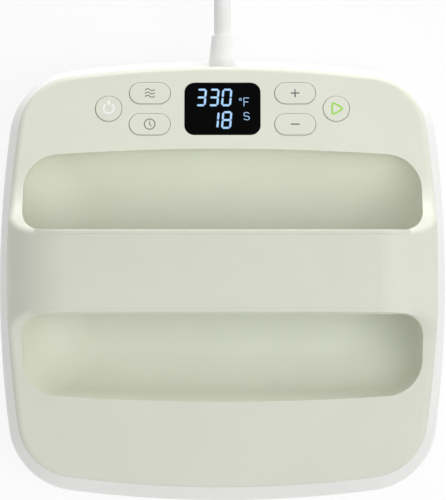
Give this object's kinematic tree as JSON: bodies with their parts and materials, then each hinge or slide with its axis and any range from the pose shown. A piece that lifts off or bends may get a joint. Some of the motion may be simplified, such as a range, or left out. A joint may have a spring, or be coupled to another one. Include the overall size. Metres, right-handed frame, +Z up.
{
  "type": "handheld heat press",
  "caption": "Handheld heat press: a square heated plate under a bowed housing, a bridge handle over two finger hollows, a rear deck with display and push buttons, and a mains cord.",
  "frame": {"origin": "middle of the sole, on the surface that the press stands on, under the middle of the housing", "axes": "+Z up, +Y to the rear where the cord leaves, +X to the right seen from the front, which is where the user stands"},
  "size_m": [0.2608, 0.4578, 0.11],
  "materials": {
    "green_shell": "satin moulded plastic, pale grey-green",
    "white_plastic": "satin moulded plastic, warm white",
    "black_window": "polished, near black",
    "black_plastic": "matt moulded plastic",
    "cord_white": "soft PVC, satin",
    "plated_brass": "bright plated brass",
    "cast_plate": "cast aluminium with a dark non-stick coat on the sole",
    "element_steel": "drawn steel, heat-dulled",
    "ceramic_white": "unglazed steatite",
    "fibre_blanket": "ceramic-fibre felt",
    "shield_steel": "thin plated sheet",
    "screw_steel": "zinc plated",
    "board_green": "lacquered circuit board",
    "capacitor_yellow": "moulded case",
    "fuse_glass": "ceramic-bodied fuse in clips",
    "heatsink_aluminium": "extruded, natural",
    "ribbon_grey": "flat cable",
    "symbol_white": "white printed ink",
    "symbol_grey": "dark grey printed ink",
    "symbol_green": "bright green printed ink",
    "display_light": "lit segments, pale blue",
    "wire_white": "glass-braid sleeve"
  },
  "bodies": {
    "press": {"beeper": "black_plastic", "board_screws": "screw_steel", "clamp_screws": "screw_steel", "control_board": "board_green", "cord_clamp": "white_plastic", "cord_coil": "cord_white", "cord_end": "cord_white", "cord_tail": "cord_white", "core_wires": "wire_white", "display_module": "black_plastic", "display_window": "black_window", "element_leads": "wire_white", "element_terminals": "ceramic_white", "filter_capacitor": "capacitor_yellow", "fuse": "fuse_glass", "hand_well": "green_shell", "handle_screws": "screw_steel", "handle_underside": "green_shell", "heat_plate": "cast_plate", "heat_shield": "shield_steel", "heating_element": "element_steel", "insulation_blanket": "fibre_blanket", "lower_housing": "white_plastic", "mains_cord": "cord_white", "plate_screws": "screw_steel", "plate_spacers": "ceramic_white", "plug_blades": "plated_brass", "plug_body": "cord_white", "power_board": "board_green", "power_board_screws": "screw_steel", "relay": "black_plastic", "ribbon_cable": "ribbon_grey", "shell_screws": "screw_steel", "shield_spacers": "element_steel", "strain_relief": "cord_white", "tact_switches": "black_plastic", "terminal_block": "white_plastic", "thermal_cutoff": "element_steel", "thermistor_probe": "element_steel", "top_shell": "green_shell", "transformer": "black_plastic", "triac_heatsink": "heatsink_aluminium", "well_screws": "screw_steel"},
    "power_key": {"power_button": "green_shell", "power_plunger": "black_plastic"},
    "temperature_key": {"temperature_button": "green_shell", "temperature_plunger": "black_plastic"},
    "timer_key": {"timer_button": "green_shell", "timer_plunger": "black_plastic"},
    "plus_key": {"plus_button": "green_shell", "plus_plunger": "black_plastic"},
    "minus_key": {"minus_button": "green_shell", "minus_plunger": "black_plastic"},
    "start_key": {"start_button": "green_shell", "start_plunger": "black_plastic"}
  },
  "joints": [
    {"name": "power_press", "type": "slide", "parent": "press", "child": "power_key", "axis": [0, 0.225, 0.9744], "range_m": [-0.0008, 0], "stiffness_N_per_m": 800},
    {"name": "temperature_press", "type": "slide", "parent": "press", "child": "temperature_key", "axis": [0, 0.225, 0.9744], "range_m": [-0.0008, 0], "stiffness_N_per_m": 800},
    {"name": "timer_press", "type": "slide", "parent": "press", "child": "timer_key", "axis": [0, 0.225, 0.9744], "range_m": [-0.0008, 0], "stiffness_N_per_m": 800},
    {"name": "plus_press", "type": "slide", "parent": "press", "child": "plus_key", "axis": [0, 0.225, 0.9744], "range_m": [-0.0008, 0], "stiffness_N_per_m": 800},
    {"name": "minus_press", "type": "slide", "parent": "press", "child": "minus_key", "axis": [0, 0.225, 0.9744], "range_m": [-0.0008, 0], "stiffness_N_per_m": 800},
    {"name": "start_press", "type": "slide", "parent": "press", "child": "start_key", "axis": [0, 0.225, 0.9744], "range_m": [-0.0008, 0], "stiffness_N_per_m": 800}
  ]
}
